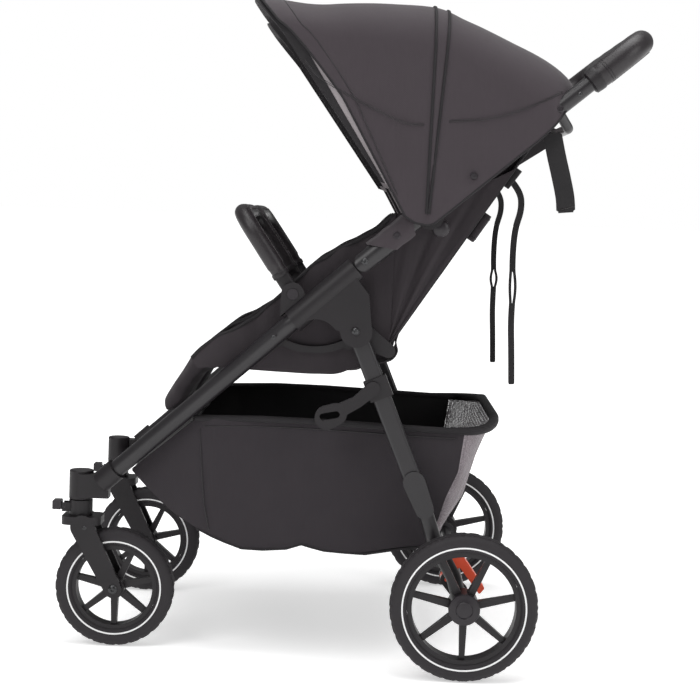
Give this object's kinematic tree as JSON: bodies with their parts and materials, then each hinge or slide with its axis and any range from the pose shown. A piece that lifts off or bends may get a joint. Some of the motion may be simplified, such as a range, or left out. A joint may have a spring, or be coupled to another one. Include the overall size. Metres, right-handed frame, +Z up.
{
  "type": "twin stroller",
  "caption": "Folding side-by-side twin stroller with two hooded reclining seats, swivelling front castors, foot brake, shared basket and foam bumper bars.",
  "frame": {"origin": "on the ground under the middle of the stroller as it stands open", "axes": "+Z up; -X is the way it is pushed, with the handle at +X; -Y is the left side"},
  "size_m": [0.9294, 0.744, 1.0435],
  "materials": {
    "frame_metal": "satin powder coat, charcoal black",
    "plastic": "moulded, fine grain",
    "tyre": "foamed tyre, ribbed tread",
    "steel": "dark plated screws and rods",
    "fabric": "plain woven polyester, matt",
    "leatherette": "stitched grained leatherette",
    "webbing": "woven webbing",
    "pedal_red": "moulded red-orange"
  },
  "bodies": {
    "front_frame": {"front_leg_left": "frame_metal", "front_leg_right": "frame_metal", "hinge_casing_left": "plastic", "hinge_casing_right": "plastic", "castor_housing_left": "plastic", "castor_housing_right": "plastic", "bumper_mount_left": "plastic", "bumper_mount_right": "plastic", "seat_left": "fabric", "seat_right": "fabric", "pivot_pins": "steel", "cross_tubes": "frame_metal", "centre_spine": "plastic", "basket": "fabric", "basket_rim": "frame_metal"},
    "rear_frame": {"rear_leg_left": "frame_metal", "rear_leg_right": "frame_metal", "rear_strut_left": "frame_metal", "rear_strut_right": "frame_metal", "rear_axle": "frame_metal", "storage_latch": "plastic"},
    "brake": {"brake_pedal": "pedal_red"},
    "handle_frame": {"handle_tube_left": "frame_metal", "handle_tube_right": "frame_metal", "handle_collar_left": "frame_metal", "handle_collar_right": "frame_metal", "canopy_rear_left": "fabric", "canopy_rear_right": "fabric", "handle_grip": "leatherette", "handle_cross_tube": "frame_metal", "canopy_mounts": "plastic", "tie_strap": "webbing"},
    "fold_link_left": {"fold_link_left": "plastic"},
    "rear_wheel_left": {"rear_tyre_left": "tyre", "rear_rim_left": "plastic"},
    "castor_left": {"castor_fork_left": "plastic"},
    "swivel_lock_left": {"swivel_lock_left": "plastic"},
    "front_wheel_left": {"front_tyre_left": "tyre", "front_rim_left": "plastic"},
    "canopy_left": {"canopy_front_left": "fabric"},
    "seat_back_left": {"seat_back_left": "fabric", "recline_strap_left": "webbing"},
    "calf_rest_left": {"calf_rest_left": "fabric"},
    "calf_button_left": {"calf_button_left": "plastic"},
    "bumper_bar_left": {"bumper_bar_left": "leatherette"},
    "bumper_button_left": {"bumper_button_left": "plastic"},
    "fold_link_right": {"fold_link_right": "plastic"},
    "rear_wheel_right": {"rear_tyre_right": "tyre", "rear_rim_right": "plastic"},
    "castor_right": {"castor_fork_right": "plastic"},
    "swivel_lock_right": {"swivel_lock_right": "plastic"},
    "front_wheel_right": {"front_tyre_right": "tyre", "front_rim_right": "plastic"},
    "canopy_right": {"canopy_front_right": "fabric"},
    "seat_back_right": {"seat_back_right": "fabric", "recline_strap_right": "webbing"},
    "calf_rest_right": {"calf_rest_right": "fabric"},
    "calf_button_right": {"calf_button_right": "plastic"},
    "bumper_bar_right": {"bumper_bar_right": "leatherette"},
    "bumper_button_right": {"bumper_button_right": "plastic"}
  },
  "joints": [
    {"name": "handle_fold", "type": "hinge", "parent": "front_frame", "child": "handle_frame", "pos_m": [0.0255, 0, 0.642], "axis": [0, -1, 0], "range_deg": [0, 68]},
    {"name": "rear_leg_fold", "type": "hinge", "parent": "front_frame", "child": "rear_frame", "pos_m": [0.0165, 0, 0.533], "axis": [0, 1, 0], "range_deg": [0, 46.75]},
    {"name": "brake_pedal_tilt", "type": "hinge", "parent": "rear_frame", "child": "brake", "pos_m": [0.1735, -0.25, 0.14], "axis": [0, 1, 0], "range_deg": [0, 18]},
    {"name": "fold_link_left_swing", "type": "hinge", "parent": "front_frame", "child": "fold_link_left", "pos_m": [-0.1075, -0.277, 0.509], "axis": [0, 1, 0], "range_deg": [0, 10.2]},
    {"name": "rear_wheel_left_spin", "type": "hinge", "parent": "rear_frame", "child": "rear_wheel_left", "pos_m": [0.1975, -0.35, 0.115], "axis": [0, 1, 0], "continuous": true},
    {"name": "castor_left_swivel", "type": "hinge", "parent": "front_frame", "child": "castor_left", "pos_m": [-0.4215, -0.209, 0.25], "axis": [0, 0, 1], "continuous": true},
    {"name": "swivel_lock_left_tilt", "type": "hinge", "parent": "castor_left", "child": "swivel_lock_left", "pos_m": [-0.4475, -0.209, 0.225], "axis": [0, 1, 0], "range_deg": [0, 14]},
    {"name": "front_wheel_left_spin", "type": "hinge", "parent": "castor_left", "child": "front_wheel_left", "pos_m": [-0.3625, -0.209, 0.0965], "axis": [0, 1, 0], "continuous": true},
    {"name": "canopy_left_fold", "type": "hinge", "parent": "handle_frame", "child": "canopy_left", "pos_m": [0.1235, -0.1675, 0.716], "axis": [0, 1, 0], "range_deg": [0, 44]},
    {"name": "seat_back_left_recline", "type": "hinge", "parent": "front_frame", "child": "seat_back_left", "pos_m": [0.0675, -0.16, 0.503], "axis": [0, 1, 0], "range_deg": [-28, 15]},
    {"name": "calf_rest_left_lift", "type": "hinge", "parent": "front_frame", "child": "calf_rest_left", "pos_m": [-0.2125, -0.137, 0.472], "axis": [0, 1, 0], "range_deg": [0, 40]},
    {"name": "calf_button_left_press", "type": "slide", "parent": "calf_rest_left", "child": "calf_button_left", "axis": [0, 1, 0], "range_m": [0, 0.0015], "stiffness_N_per_m": 400},
    {"name": "bumper_bar_left_swing", "type": "hinge", "parent": "front_frame", "child": "bumper_bar_left", "pos_m": [-0.0845, -0.159, 0.587], "axis": [0, -1, 0], "range_deg": [0, 44]},
    {"name": "bumper_button_left_press", "type": "slide", "parent": "front_frame", "child": "bumper_button_left", "axis": [0, 1, 0], "range_m": [0, 0.002], "stiffness_N_per_m": 400},
    {"name": "fold_link_right_swing", "type": "hinge", "parent": "front_frame", "child": "fold_link_right", "pos_m": [-0.1075, 0.277, 0.509], "axis": [0, 1, 0], "range_deg": [0, 10.2]},
    {"name": "rear_wheel_right_spin", "type": "hinge", "parent": "rear_frame", "child": "rear_wheel_right", "pos_m": [0.1975, 0.35, 0.115], "axis": [0, 1, 0], "continuous": true},
    {"name": "castor_right_swivel", "type": "hinge", "parent": "front_frame", "child": "castor_right", "pos_m": [-0.4215, 0.209, 0.25], "axis": [0, 0, 1], "continuous": true},
    {"name": "swivel_lock_right_tilt", "type": "hinge", "parent": "castor_right", "child": "swivel_lock_right", "pos_m": [-0.4475, 0.209, 0.225], "axis": [0, 1, 0], "range_deg": [0, 14]},
    {"name": "front_wheel_right_spin", "type": "hinge", "parent": "castor_right", "child": "front_wheel_right", "pos_m": [-0.3625, 0.209, 0.0965], "axis": [0, 1, 0], "continuous": true},
    {"name": "canopy_right_fold", "type": "hinge", "parent": "handle_frame", "child": "canopy_right", "pos_m": [0.1235, 0.1675, 0.716], "axis": [0, 1, 0], "range_deg": [0, 44]},
    {"name": "seat_back_right_recline", "type": "hinge", "parent": "front_frame", "child": "seat_back_right", "pos_m": [0.0675, 0.16, 0.503], "axis": [0, 1, 0], "range_deg": [-28, 15]},
    {"name": "calf_rest_right_lift", "type": "hinge", "parent": "front_frame", "child": "calf_rest_right", "pos_m": [-0.2125, 0.137, 0.472], "axis": [0, 1, 0], "range_deg": [0, 40]},
    {"name": "calf_button_right_press", "type": "slide", "parent": "calf_rest_right", "child": "calf_button_right", "axis": [0, -1, 0], "range_m": [0, 0.0015], "stiffness_N_per_m": 400},
    {"name": "bumper_bar_right_swing", "type": "hinge", "parent": "front_frame", "child": "bumper_bar_right", "pos_m": [-0.0845, 0.159, 0.587], "axis": [0, -1, 0], "range_deg": [0, 44]},
    {"name": "bumper_button_right_press", "type": "slide", "parent": "front_frame", "child": "bumper_button_right", "axis": [0, -1, 0], "range_m": [0, 0.002], "stiffness_N_per_m": 400}
  ],
  "couplings": [
    {"joint": "rear_leg_fold", "follows": "handle_fold", "ratio": 0.6875},
    {"joint": "fold_link_left_swing", "follows": "handle_fold", "ratio": 0.15},
    {"joint": "fold_link_right_swing", "follows": "handle_fold", "ratio": 0.15}
  ]
}
